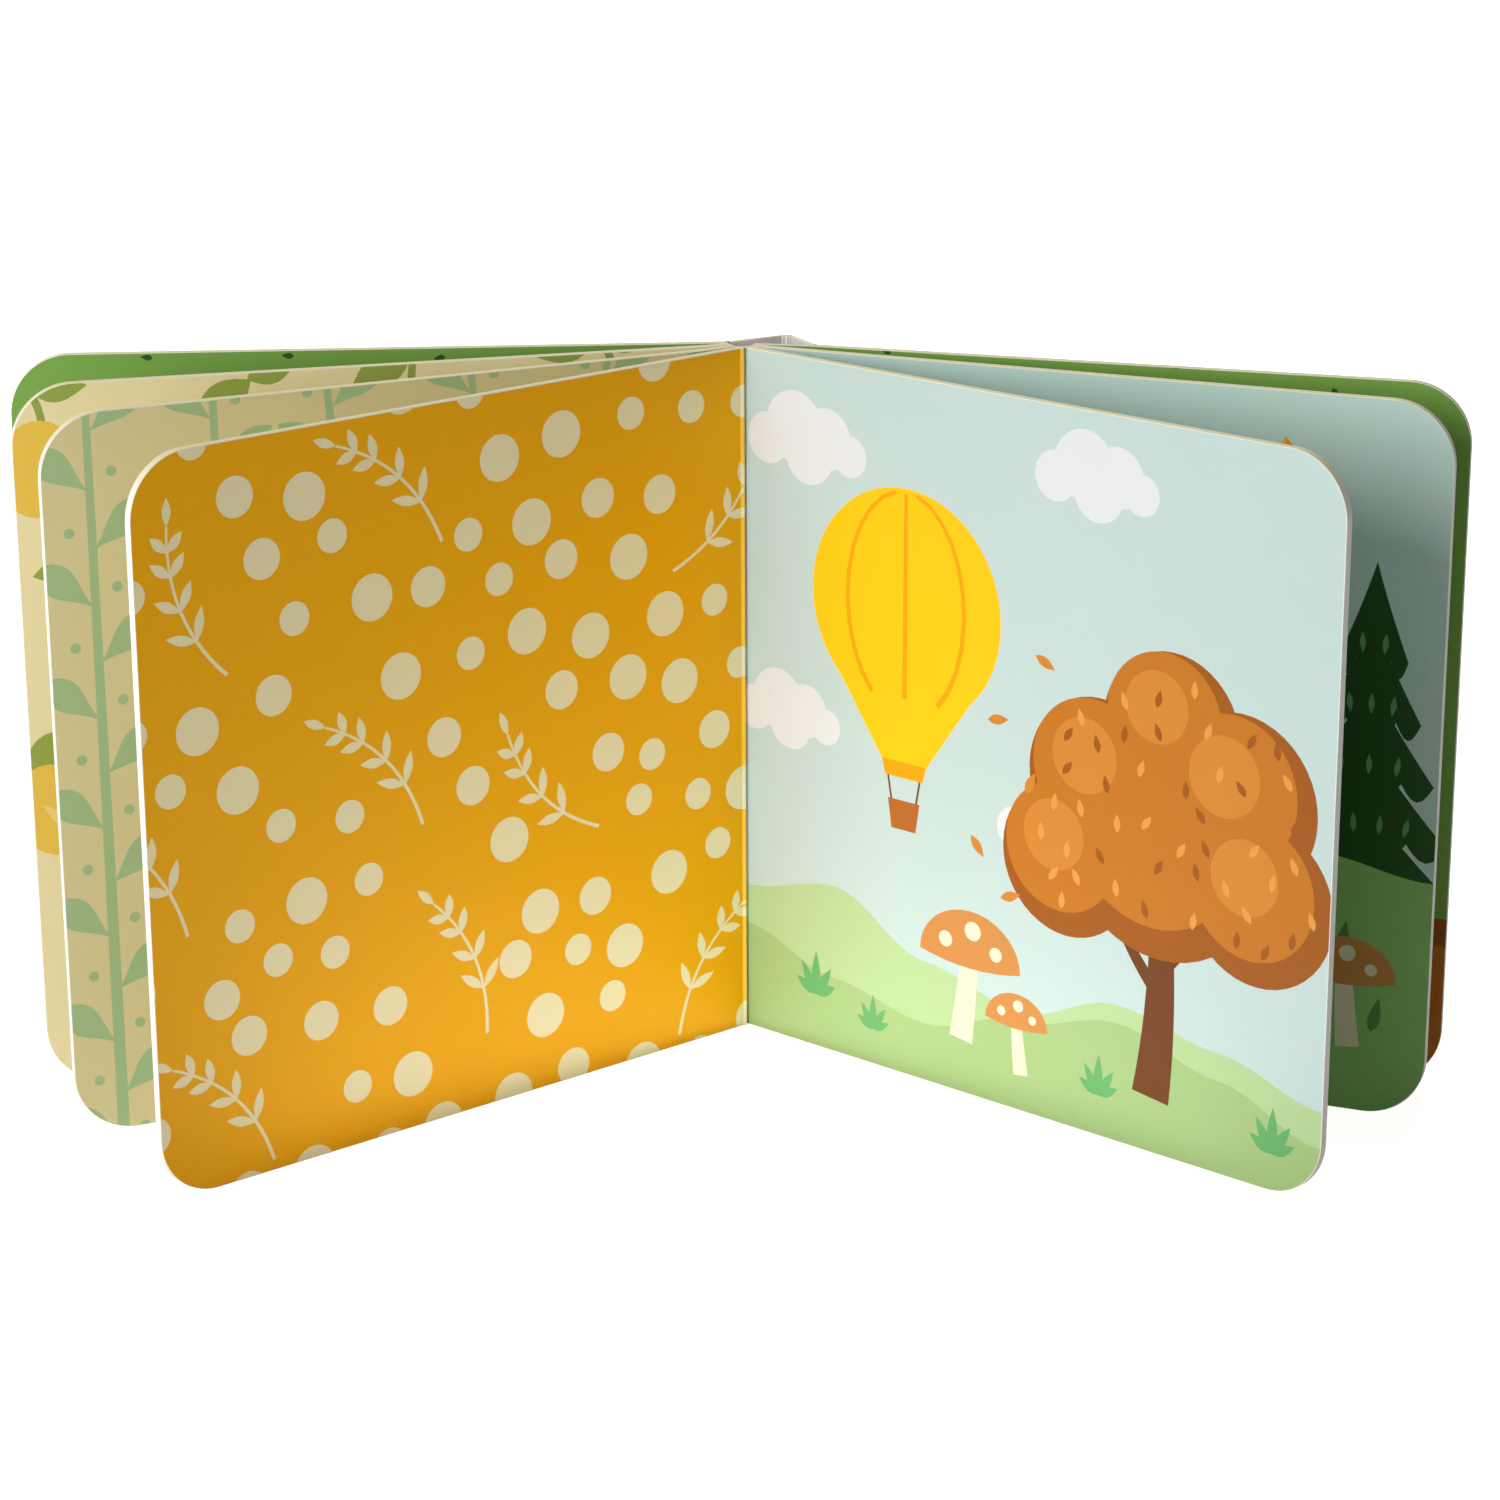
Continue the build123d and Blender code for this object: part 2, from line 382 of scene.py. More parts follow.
def twig(ink, x, y, length, lean, bow):
    """A thin bowed stem with slender leaves in pairs and one at its tip, and the stem's points."""
    way = Vector((math.cos(math.radians(lean)), math.sin(math.radians(lean))))
    control = (x + way.x * length / 2 - way.y * bow, y + way.y * length / 2 + way.x * bow)
    steps, pairs = 14, (4, 7, 10, 12)
    line = curve((x, y), control, (x + way.x * length, y + way.y * length), steps)
    shapes = [stroke(ink, line, 0.8, 0.7)]
    for index in pairs:
        u, v = line[index]
        run = Vector(line[index + 1]) - Vector(line[index - 1])
        ahead = math.degrees(math.atan2(run.y, run.x))
        for hand in (-1, 1):
            shapes.append(petal(ink, u, v, 8.2 - 0.25 * index, 2.2, ahead + hand * 44, 0.5, 8))
    end = Vector(line[-1]) - Vector(line[-2])
    shapes.append(petal(ink, *line[-1], 5.6, 2.0, math.degrees(math.atan2(end.y, end.x)), 0.5, 8))
    return shapes, line


def scatter(spread, sizes, pitch, stray, kept_clear):
    """Spots of several sizes in loose rows, clear of other shapes, as (x, y, radius)."""
    spots = []
    rise = 0.87
    for row in range(int(HEIGHT / (rise * pitch)) + 2):
        for column in range(int(WIDTH / pitch) + 2):
            x = (column + row % 2 / 2) * pitch + spread.uniform(-stray, stray)
            y = rise * row * pitch + spread.uniform(-stray, stray)
            radius = spread.choice(sizes)
            if all(math.hypot(x - u, y - v) > radius + r for u, v, r in kept_clear + spots):
                spots.append((x, y, radius))
    return spots


def print_spots(seed):
    """Mustard, with loosely strewn cream spots and leafy twigs, and a painted highlight along the
    lip at the gutter.
    """
    spread = random.Random(seed)
    _, crest, end, _ = GUTTER_LIP
    # The pale band over the lip's far flank, from its crest to its end, is a painted highlight
    shapes, kept_clear = [upright_band("mustard_pale", crest, end)], []
    stem_room, leaf_room = 1.2, 5.0
    for x, y in strewn(spread, 3, 3, (20, 54, 16), (2, 52, 14), (5, 4)):
        lean = 90 + spread.choice((-1, 1)) * spread.uniform(18, 58)
        leaves, line = twig("straw", x, y, 34, lean, spread.choice((-1, 1)) * 8)
        shapes += leaves
        kept_clear += [(u, v, leaf_room) for u, v in line[4::2]]
        kept_clear += [(u, v, stem_room) for u, v in line[:4]]
    for x, y, radius in scatter(spread, (4.9, 4.2, 3.5), 16.2, 2.8, kept_clear):
        shapes.append(disc("straw", x, y, radius))
    # The thin straw line along the lip's crest is a painted glint
    shapes.append(upright_band("straw", crest - 0.15, crest + 0.05))
    return "mustard", shapes


def tree(spread, x, foot, size):
    """A broad amber tree: a forked trunk and a heaped crown flecked with leaves."""
    bow = (x + 0.05 * size, foot + 0.4 * size)
    trunk = curve((x - 0.02 * size, foot - 4), bow, (x, foot + size))
    shapes = [stroke("bark", trunk, 0.2 * size, 0.5)]
    for hand, fork, reach in ((1, 0.5, 0.36), (-1, 0.42, 0.32)):
        start = (x, foot + fork * size)
        elbow = (x + hand * 0.2 * size, foot + (fork + 0.2) * size)
        end = (x + hand * reach * size, foot + (fork + 0.5) * size)
        shapes.append(stroke("bark", curve(start, elbow, end), 0.07 * size, 0.5))
    lobes = [
        (-0.5, 0.92, 0.36),
        (0.52, 0.95, 0.38),
        (-0.34, 1.32, 0.38),
        (0.4, 1.38, 0.4),
        (0.04, 1.62, 0.36),
    ]
    crown = lobes + [(0.0, 1.12, 0.55)]
    for ink, heap, left, up, share, steps in (
        ("amber_dark", crown, 0.0, 0.0, 1.0, 44),
        ("amber", crown, 0.04, 0.05, 0.84, 44),
        ("amber_light", lobes, 0.08, 0.1, 0.46, 36),
    ):
        for u, v, r in heap:
            place = (x + (u - left) * size, foot + (v + up) * size)
            shapes.append(disc(ink, *place, share * r * size, steps=steps))
    tries, apart, inner = 400, 0.13, 0.76
    marks = []
    for _ in range(tries):
        u, v = spread.uniform(-0.85, 0.85), spread.uniform(0.6, 1.95)
        inside = any(math.hypot(u - a, v - b) < inner * c for a, b, c in crown)
        if inside and all(math.hypot(u - a, v - b) > apart for a, b in marks):
            marks.append((u, v))
            ink = spread.choice(("amber_dark", "amber_glow"))
            place = (x + u * size, foot + v * size)
            lean = spread.uniform(50, 130)
            shapes.append(petal(ink, *place, 0.085 * size, 0.036 * size, lean, 0.45, 8))
    return shapes


def balloon(x, y, radius):
    """A yellow hot-air balloon with orange seams, a skirt and a basket."""

    def taper(ink, top_half, top, foot_half, foot):
        """A straight-sided band that narrows downwards."""
        corners = ((-top_half, top), (-foot_half, foot), (foot_half, foot), (top_half, top))
        return ink, [(x + u * radius, y + v * radius) for u, v in corners]

    shapes = [taper("sun_yellow", 0.72, -0.68, 0.2, -1.42)]
    shapes.append(disc("sun_yellow", x, y, radius, steps=64))
    lowest, apart, count = -56, 13.6, 11
    for share in (-0.62, 0.0, 0.62):
        line = []
        for step in range(count):
            bearing = math.radians(lowest + apart * step)
            u, v = share * radius * math.cos(bearing), 0.97 * radius * math.sin(bearing)
            line.append((x + u, y + v))
        shapes.append(stroke("sun_deep", line, 0.05 * radius, 0.7))
    shapes.append(taper("sun_deep", 0.24, -1.36, 0.2, -1.5))
    for hand in (-1, 1):
        top = (x + hand * 0.17 * radius, y - 1.5 * radius)
        end = (x + hand * 0.13 * radius, y - 1.72 * radius)
        shapes.append(stroke("bark", [top, end], 0.02 * radius))
    shapes.append(taper("basket_brown", 0.17, -1.7, 0.13, -1.96))
    return shapes


def toadstool(x, y, size, lean=0.0):
    """A cream stalk under a brown cap with cream spots."""
    top = x + lean * 1.4
    stalk = curve((x, y), (x + lean, y + size * 0.6), (top, y + size * 1.1))
    cap, steps = [], 18
    for step in range(steps + 1):
        bearing = math.pi * step / steps
        u, v = size * 0.74 * math.cos(bearing), size * (1.0 + 0.62 * math.sin(bearing))
        cap.append((top + u, y + v))
    rim = curve(cap[-1], (top, y + size * 0.82), cap[0], 8)[1:-1]
    shapes = [stroke("stalk", stalk, 0.34 * size, 0.7), ("cap_brown", cap + rim)]
    for u, v, r in ((-0.36, 1.2, 0.1), (0.04, 1.38, 0.12), (0.38, 1.17, 0.09)):
        shapes.append(disc("stalk", top + u * size, y + v * size, r * size, steps=14))
    return shapes


def tuft(ink, x, y, size):
    """Five blades of grass."""
    blades = []
    for lean in (-62, -32, 0, 30, 60):
        length = size * (1 - abs(lean) / 160)
        blades.append(petal(ink, x, y, length, size * 0.24, 90 + lean, 0.45))
    return blades


def print_meadow(seed):
    """A pale-blue day: clouds, a yellow balloon, an amber tree and toadstools on green hills."""
    spread = random.Random(seed)
    shapes = []
    for x, y, size in ((17, 134, 9), (92, 138, 8.5), (12, 74, 8), (82, 62, 7.5)):
        shapes += cloud("cloud_white", x, y, size)
    shapes.append(hill("hill_pale", (33, 38, 27, 22, 30, 26, 20)))
    shapes.append(hill("hill", (24, 17, 13, 20, 26, 20, 12)))
    shapes += tree(spread, 110, 16, 46)
    shapes += balloon(44, 104, 25)
    for x, y, lean in ((70, 46, 20), (62, 58, -50), (76, 70, 65), (66, 84, 10), (78, 100, -25)):
        shapes.append(petal("amber_light", x, y, 5.4, 2.2, lean, 0.45, 8))
    shapes += toadstool(60, 12, 18, 1.5) + toadstool(76, 8, 11, -1.0)
    for x, y, size in ((20, 12, 10), (36, 8, 8), (96, 9, 9), (139, 8, 10)):
        shapes += tuft("sprig", x, y, size)
    return "day_sky", shapes


def fir(x, foot, width, height):
    """A dark fir of overlapping skirts with scalloped hems and short pale strokes."""
    tiers, scallops, steps = 5, 4, 24
    step_up = height / (tiers + 0.6)
    shapes = [stroke("bark", [(x, foot - 5), (x, foot + step_up)], 0.13 * width)]
    for tier in range(tiers):
        half = width / 2 * (1 - 0.16 * tier)
        low = foot + 3 + tier * step_up
        shoulder, peak = low + step_up, low + 1.6 * step_up
        hem = []
        for step in range(steps + 1):
            share = step / steps
            drop = 0.09 * width * abs(math.sin(scallops * math.pi * share))
            hem.append((x - half + 2 * half * share, low - drop))
        right = curve(hem[-1], (x + 0.3 * half, shoulder), (x, peak), 6)
        left = curve((x, peak), (x - 0.3 * half, shoulder), hem[0], 6)
        shapes.append(("bush", hem + right[1:] + left[1:-1]))
        marks = 4 - tier // 2
        for mark in range(marks):
            u = x - 0.62 * half + 1.24 * half * (mark + 0.5) / marks
            v, lean = low + 0.1 * step_up, 90 + (x - u) * 1.4
            shapes.append(petal("bush_leaf", u, v, 4.4, 1.3, lean, 0.5, 5))
    return shapes


def print_dusk(seed):
    """A blue-green evening: a kite on a dashed line, dark firs and toadstools on a hill."""
    spread = random.Random(seed)
    shapes = cloud("cloud_dim", 60, 132, 9) + cloud("cloud_dim", 20, 112, 7)
    line = curve((118, 122), (150, 108), (126, 86), 14)
    line += curve((126, 86), (108, 70), (140, 58), 10)[1:]
    for first in range(0, len(line) - 1, 2):
        shapes.append(stroke("cloud_white", line[first : first + 2], 0.8))
    shapes.append(("kite", [(118, 122), (109, 131), (116, 143), (126, 133)]))
    shapes.append(("kite_light", [(118, 122), (109, 131), (116, 143)]))
    for place in ((28, 46, 38, 68), (72, 48, 32, 52), (104, 46, 30, 44), (136, 44, 40, 72)):
        shapes += fir(*place)
    shapes.append(hill("moss", (46, 56, 54, 48, 56, 56, 52)))
    leaves = 26
    for _ in range(leaves):
        place = (spread.uniform(4, 146), spread.uniform(3, 38))
        shapes.append(petal("moss_dark", *place, 8, 2.6, spread.uniform(60, 120), 0.4, 6))
    shapes += toadstool(134, 14, 15, -1.0) + toadstool(50, 12, 17, 1.5)
    return "dusk_sky", shapes


# Materials. Inks are display colours: red, green and blue from 0 to 255.


INKS = {
    "grass_green": (128, 170, 80),
    "seed": (52, 88, 44),
    "cream": (238, 227, 180),
    # A slightly darker copy of cream, as painted shade
    "cream_shade": (232, 218, 166),
    "fruit_yellow": (236, 198, 84),
    "fruit_light": (244, 216, 128),
    "leaf_green": (150, 170, 80),
    "sage": (176, 203, 152),
    "mustard": (240, 172, 0),
    # Painted highlight on the lip at the gutter
    "mustard_pale": (255, 198, 56),
    "straw": (240, 228, 182),
    "day_sky": (185, 206, 203),
    "cloud_white": (216, 220, 221),
    "cloud_dim": (206, 220, 216),
    "hill": (155, 184, 122),
    "hill_pale": (171, 199, 144),
    "sprig": (98, 165, 100),
    "sun_yellow": (253, 192, 20),
    "sun_deep": (240, 158, 14),
    "amber": (184, 112, 34),
    "amber_dark": (150, 84, 22),
    "amber_light": (198, 128, 48),
    "amber_glow": (214, 148, 68),
    "bark": (104, 58, 22),
    "basket_brown": (170, 100, 40),
    "cap_brown": (196, 134, 70),
    "stalk": (228, 216, 188),
    "dusk_sky": (192, 217, 207),
    "bush": (38, 74, 30),
    "bush_leaf": (92, 152, 92),
    "moss": (142, 190, 110),
    "moss_dark": (84, 134, 66),
    "kite": (232, 150, 30),
    "kite_light": (246, 180, 60),
    "film_green": (98, 146, 68),
    "board_core": (246, 244, 236),
    # Painted shade with a warm painted reflection, for the board edges that face up or down
    "board_edge_painted_shade": (233, 222, 182),
    "bare_card": (226, 219, 213),
    # Painted highlight on the spine's score ridges
    "bare_score": (246, 243, 238),
}
FILMLESS = ("board_core", "bare_card", "bare_score")
materials = {}

# Looks of print under its film and of bare board: roughness, scale of the grain, strength of bump
FILM_LOOK = (0.42, 900.0, 0.05)
BARE_LOOK = (0.82, 2600.0, 0.25)
SPECULAR = 0.12
GRAIN_DETAIL = 2.0
GRAIN_HEIGHT = 0.0001


def linear(value):
    """A display value from 0 to 255 as scene-linear light."""
    share = value / 255
    return share / 12.92 if share <= 0.04045 else ((share + 0.055) / 1.055) ** 2.4


def colour(ink):
    """An ink as a scene-linear colour."""
    return [linear(value) for value in INKS[ink]] + [1.0]


def ink_material(name):
    """Print under a satin film, or bare board, with a fine grain in the surface."""
    if name in materials:
        return materials[name]
    material = bpy.data.materials.new(name)
    material.use_nodes = True
    nodes, links = material.node_tree.nodes, material.node_tree.links
    roughness, scale, strength = BARE_LOOK if name in FILMLESS else FILM_LOOK
    shader = nodes["Principled BSDF"]
    shader.inputs["Base Color"].default_value = colour(name)
    shader.inputs["Roughness"].default_value = roughness
    shader.inputs["Specular IOR Level"].default_value = SPECULAR
    place = nodes.new("ShaderNodeTexCoord")
    grain = nodes.new("ShaderNodeTexNoise")
    grain.inputs["Scale"].default_value = scale
    grain.inputs["Detail"].default_value = GRAIN_DETAIL
    bump = nodes.new("ShaderNodeBump")
    bump.inputs["Strength"].default_value = strength
    bump.inputs["Distance"].default_value = GRAIN_HEIGHT
    if name == "board_core":
        # Painted shade and a warm painted reflection of the pages: edges that face up or down are
        # mixed towards a darker, warmer colour than the upright ones
        surface = nodes.new("ShaderNodeNewGeometry")
        axes = nodes.new("ShaderNodeSeparateXYZ")
        level = nodes.new("ShaderNodeMath")
        level.operation = "ABSOLUTE"
        edge_shade_mix = nodes.new("ShaderNodeMix")
        edge_shade_mix.data_type = "RGBA"
        edge_shade_mix.inputs["A"].default_value = colour(name)
        edge_shade_mix.inputs["B"].default_value = colour("board_edge_painted_shade")
        links.new(surface.outputs["Normal"], axes.inputs["Vector"])
        links.new(axes.outputs["Z"], level.inputs[0])
        links.new(level.outputs[0], edge_shade_mix.inputs["Factor"])
        links.new(edge_shade_mix.outputs["Result"], shader.inputs["Base Color"])
    links.new(place.outputs["Object"], grain.inputs["Vector"])
    links.new(grain.outputs["Fac"], bump.inputs["Height"])
    links.new(bump.outputs["Normal"], shader.inputs["Normal"])
    materials[name] = material
    return material


# Boards


def placed(name, data):
    """A new object in the scene, made of this mesh, light or camera."""
    obj = bpy.data.objects.new(name, data)
    bpy.context.scene.collection.objects.link(obj)
    return obj


def page_outline(first, last, corner, inset, stations):
    """The flat outline from the root's foot round the fore-edge to its top, with its normals."""
    low, high = inset, HEIGHT - inset
    runs = [first] + stations + [last - corner]
    rows = [(x, low, 0.0, -1.0) for x in runs]
    if corner:
        radius = corner - inset
        for centre_y, start in ((corner, -90), (HEIGHT - corner, 0)):
            for step in range(CORNER_STEPS + 1):
                bearing = math.radians(start + 90 * step / CORNER_STEPS)
                u, v = math.cos(bearing), math.sin(bearing)
                rows.append((last - corner + radius * u, centre_y + radius * v, u, v))
    else:
        rows += [(last, low, 1.0, 0.0), (last, high, 1.0, 0.0)]
    rows += [(x, high, 0.0, 1.0) for x in reversed(runs)]
    return [(round(x, PLACES), round(y, PLACES), u, v) for x, y, u, v in rows]


def crossing_shares(outline, prints, margin):
    """Where the prints' shapes cross an outline: for each of its sides, shares of its length.

    No shape that stays further than the margin inside the outline's box can cross it.
    """
    xs, ys = [row[0] for row in outline], [row[1] for row in outline]
    left, right = min(xs) + margin, max(xs) - margin
    low, high = min(ys) + margin, max(ys) - margin
    sides = []
    for _, shapes in prints:
        for _, ring in shapes:
            if not all(left < x < right and low < y < high for x, y in ring):
                sides += zip(ring, ring[1:] + ring[:1])
    found = []
    for a, b in zip(outline, outline[1:] + outline[:1]):
        start, end = Vector(a[:2]), Vector(b[:2])
        length = (end - start).length
        spots = (intersect_line_line_2d(start, end, c, d) for c, d in sides)
        shares = []
        for share in sorted((spot - start).length / length for spot in spots if spot):
            if min(share - (shares or [0.0])[-1], 1.0 - share) * length > JOINED:
                shares.append(share)
        found.append(shares)
    return found


def refined(outline, shares):
    """An outline with points added at shares of its sides."""
    rows = []
    for a, b, added in zip(outline, outline[1:] + outline[:1], shares):
        rows.append(a)
        for share in added:
            x, y, u, v = (p + (q - p) * share for p, q in zip(a, b))
            rows.append((round(x, PLACES), round(y, PLACES), u, v))
    return rows


def anticlockwise(ring):
    """The ring's points, in the order that goes round it anticlockwise."""
    area = sum(a[0] * b[1] - a[1] * b[0] for a, b in zip(ring, ring[1:] + ring[:1]))
    return ring if area > 0 else ring[::-1]


def cut_print(outline, print_, stations):
    """The triangles of a printed face, as (three flat points, ink)."""
    base, shapes = print_
    points = [Vector(row[:2]) for row in outline]
    faces = [list(range(len(points)))]
    inks = [base]
    for ink, ring in shapes:
        faces.append(list(range(len(points), len(points) + len(ring))))
        points += [Vector(place) for place in anticlockwise(ring)]
        inks.append(ink)
    low = min(row[1] for row in outline)
    high = max(row[1] for row in outline)
    edges = []
    for x in stations:
        edges.append((len(points), len(points) + 1))
        points += [Vector((x, low)), Vector((x, high))]
    places, _, triangles, _, _, owners = delaunay_2d_cdt(points, edges, faces, 1, JOINED)
    found = []
    for triangle, owner in zip(triangles, owners):
        if 0 in owner:
            found.append(([places[index] for index in triangle], inks[max(owner)]))
    return found


class Builder:
    """Collects faces in flat board places and bends them along a path into one mesh."""

    def __init__(self, path, warp=None):
        self.path = path
        self.warp = warp
        self.points = []
        self.faces = []
        self.inks = []
        self.normals = []

    def place(self, x, y, depth):
        """A flat place, bent into the book."""
        if self.warp:
            depth = self.warp(x, depth)
        plan = self.path.point(x, depth)
        return (plan.x * MM, plan.y * MM, y * MM)

    def turn(self, x, depth, normal):
        """A flat normal, turned as the board is there."""
        u, v, w = normal
        if self.warp:
            step = 0.01
            u -= w * (self.warp(x + step, depth) - self.warp(x - step, depth)) / (2 * step)
        angle = self.path.angle_at(x)
        plan = along(self.path.side, angle) * u + behind(self.path.side, angle) * w
        return Vector((plan.x, plan.y, v)).normalized()

    def add(self, corners, ink):
        """One face of (x, y, depth, normal) corners. The normals say which way it looks."""
        corners = [(round(x, PLACES), round(y, PLACES), *rest) for x, y, *rest in corners]
        places = [Vector(self.place(*corner[:3])) for corner in corners]
        normals = [self.turn(corner[0], corner[2], corner[3]) for corner in corners]
        facing = (places[1] - places[0]).cross(places[2] - places[0])
        if facing.dot(normals[0]) < 0:
            places.reverse()
            normals.reverse()
        first = len(self.points)
        self.points += places
        self.faces.append(list(range(first, first + len(places))))
        self.inks.append(ink)
        self.normals += normals

    def make(self, name, soft):
        """The finished object, its like places joined.

        A soft one keeps no normals of its own, and its faces are shaded flat.
        """
        keys, merged, where = {}, [], []
        for point in self.points:
            key = tuple(round(value, BENT_PLACES) for value in point)
            if key not in keys:
                keys[key] = len(merged)
                merged.append(point)
            where.append(keys[key])
        faces, kept = [], []
        for index, face in enumerate(self.faces):
            ring = [where[corner] for corner in face]
            if len(set(ring)) == len(ring):
                faces.append(ring)
                kept.append(index)
        mesh = bpy.data.meshes.new(name)
        mesh.from_pydata(merged, [], faces)
        names = sorted(set(self.inks[index] for index in kept))
        for ink in names:
            mesh.materials.append(ink_material(ink))
        normals = []
        for polygon, index in zip(mesh.polygons, kept):
            polygon.material_index = names.index(self.inks[index])
            polygon.use_smooth = not soft
            normals += [self.normals[corner] for corner in self.faces[index]]
        if not soft:
            mesh.normals_split_custom_set(normals)
        return placed(name, mesh)


def edge_profile(front, back, glue_lines):
    """A board's edge from its front face to its back: (inset, depth, outward, depthward) rows."""

    def arris(face, facing, bearings):
        """The rounded arris at the face of this depth. Facing is -1 in front and 1 at the back."""
        found = []
        for bearing in bearings:
            u, w = math.cos(math.radians(bearing)), math.sin(math.radians(bearing))
            found.append((ARRIS * (1 - u), face - facing * ARRIS * (1 - w), u, facing * w))
        return found

    rows = arris(front, -1.0, (90, 60, 30, 0))
    for depth in glue_lines:
        rows.append((0.0, depth - GLUE_LINE, 1.0, 0.0))
        rows.append((GLUE_LINE, depth, 1.0, 0.0))
        rows.append((0.0, depth + GLUE_LINE, 1.0, 0.0))
    return rows + arris(back, 1.0, (0, 30, 60, 90))


def board(
    name,
    path,
    span,
    depths,
    front,
    back,
    corner=CORNER,
    glue_lines=(),
    end_inks=("board_core", "board_core"),
    stations=(),
    warp=None,
    soft=False,
):
    """A board or card: two printed faces, bare edges with rounded arrises, and square ends.

    The end inks are those of the square ends, towards the front face and towards the back.
    """
    first, last = span
    inside_ink, outside_ink = end_inks
    stations = sorted(x for x in {*path.stations(), *stations} if first < x < last - corner)
    builder = Builder(path, warp)
    face_outline = page_outline(first, last, corner, ARRIS, stations)
    shares = crossing_shares(face_outline, (front, back), CORNER_REACH * corner)
    face_outline = refined(face_outline, shares)
    root_side = len(face_outline) - 1 - len(shares[-1])
    for print_, depth, facing in ((front, depths[0], -1.0), (back, depths[1], 1.0)):
        for corners, ink in cut_print(face_outline, print_, stations):
            builder.add([(spot.x, spot.y, depth, (0.0, 0.0, facing)) for spot in corners], ink)
    rings = []
    for inset, depth, out, through in edge_profile(*depths, glue_lines):
        rows = refined(page_outline(first, last, corner, inset, stations), shares)
        rings.append([(x, y, depth, (u * out, v * out, through)) for x, y, u, v in rows])
    for near, far in zip(rings, rings[1:]):
        outside = near[0][2] + far[0][2] > 2 * (depths[1] - ARRIS)
        end_ink = outside_ink if outside else inside_ink
        sides = zip(near, near[1:] + near[:1], far[1:] + far[:1], far)
        for index, corners in enumerate(sides):
            square_end = not corner and corners[0][0] == corners[1][0] == last
            if index >= root_side:
                square_end = True
                corners = [(x, y, depth, (-1.0, 0.0, 0.0)) for x, y, depth, _ in corners]
            builder.add(corners, end_ink if square_end else "board_core")
    return builder.make(name, soft)


def finish_piece(obj, body, slot, *nodes):
    """The piece moves with its body and stands for those solids."""
    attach(obj, body)
    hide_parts(*nodes)


def prism(name, outline, ink, end_ink):
    """A plan outline raised up the book, with flat ends."""
    count = len(outline)
    points = [(x * MM, y * MM, z * MM) for z in (0.0, HEIGHT) for x, y in outline]
    faces = []
    for index in range(count):
        after = (index + 1) % count
        faces.append([index, after, count + after, count + index])
    faces += [list(range(count))[::-1], list(range(count, 2 * count))]
    mesh = bpy.data.meshes.new(name)
    mesh.from_pydata(points, [], faces)
    mesh.materials.append(ink_material(ink))
    mesh.materials.append(ink_material(end_ink))
    for polygon in mesh.polygons[count:]:
        polygon.material_index = 1
    return placed(name, mesh)


def sector(centre, start, end, radius, steps=10):
    """A pie slice in plan from one direction to another."""
    turn = math.atan2(start.x * end.y - start.y * end.x, start.dot(end))
    ring = []
    for step in range(steps + 1):
        bearing = math.atan2(start.y, start.x) + turn * step / steps
        ring.append((centre.x + radius * math.cos(bearing), centre.y + radius * math.sin(bearing)))
    outline = [tuple(centre)] + ring
    return outline if turn > 0 else outline[::-1]


# The spreads' prints in order from the front cover, then the film outside and the bare card
green_first = print_green(3)
orchard = print_orchard(5)
fronds = print_fronds(8)
spots = print_spots(11)
meadow = print_meadow(21)
dusk = print_dusk(34)
green_last = print_leaf_pile(9)
film = ("film_green", [])
bare = ("bare_card", [])


def swell(x, middle, width):
    """A smooth rise to 1 over a place and back to 0."""
    offset = (x - middle) / (width / 2)
    return (1 + math.cos(math.pi * offset)) / 2 if abs(offset) < 1 else 0.0


def steps_over(middle, width, count=8):
    """Evenly spaced runs over a stretch of a board."""
    return [middle + width * (step / count - 0.5) for step in range(count + 1)]


def gutter_warp(x, depth):
    """The left page of the open spread stands up in a lip along the gutter."""
    foot, crest, end, height = GUTTER_LIP
    share = (x - foot) / (crest - foot) if x < crest else (end - x) / (end - crest)
    rise = height * (1 - math.cos(math.pi * max(share, 0.0))) / 2
    return depth - (1 - depth / LEAF) * rise


def make_leaves():
    """The five full leaves, each two half sheets glued back to back."""
    leaves = [
        ("leaf_spots", left_paths[0], spots, fronds),
        ("leaf_fronds", left_paths[1], fronds, orchard),
        ("leaf_orchard", left_paths[2], orchard, green_first),
        ("leaf_meadow", right_paths[0], meadow, dusk),
        ("leaf_dusk", right_paths[1], dusk, green_last),
    ]
    foot, _, end, _ = GUTTER_LIP
    stations = steps_over((foot + end) / 2, end - foot, count=14)
    lip = {"stations": stations, "warp": gutter_warp}
    span, depths = (0.0, WIDTH), (0.0, LEAF)
    for name, path, front, back in leaves:
        form = lip if name == "leaf_spots" else {}
        leaf = board(name, path, span, depths, front, back, glue_lines=(SHEET,), **form)
        finish_piece(leaf, "pages", "printed_board", "pages")


def make_folds():
    """The rounded backs of the folded sheets, where the leaves are bound."""
    left_angles = [fan[0] for fan in LEFT_FAN] + [FRONT_ANGLE]
    right_angles = [fan[0] for fan in RIGHT_FAN] + [STUB_ANGLE]
    start, end = behind(LEFT, left_angles[0]), behind(RIGHT, right_angles[0])
    folds = [("fold_middle", left_paths[0].root, start, end)]
    for word, side, paths, last_fold, angles in (
        ("left", LEFT, left_paths, front_fold, left_angles),
        ("right", RIGHT, right_paths, back_fold, right_angles),
    ):
        roots = [path.root for path in paths[1:]] + [last_fold]
        for index, root in enumerate(roots):
            start, end = behind(side, angles[index]), behind(side, angles[index + 1])
            folds.append((f"fold_{word}_{index + 1}", root, start, end))
    for name, root, start, end in folds:
        fold = prism(name, sector(root, start, end, SHEET), "board_core", "board_core")
        finish_piece(fold, "pages", "printed_board", "pages")


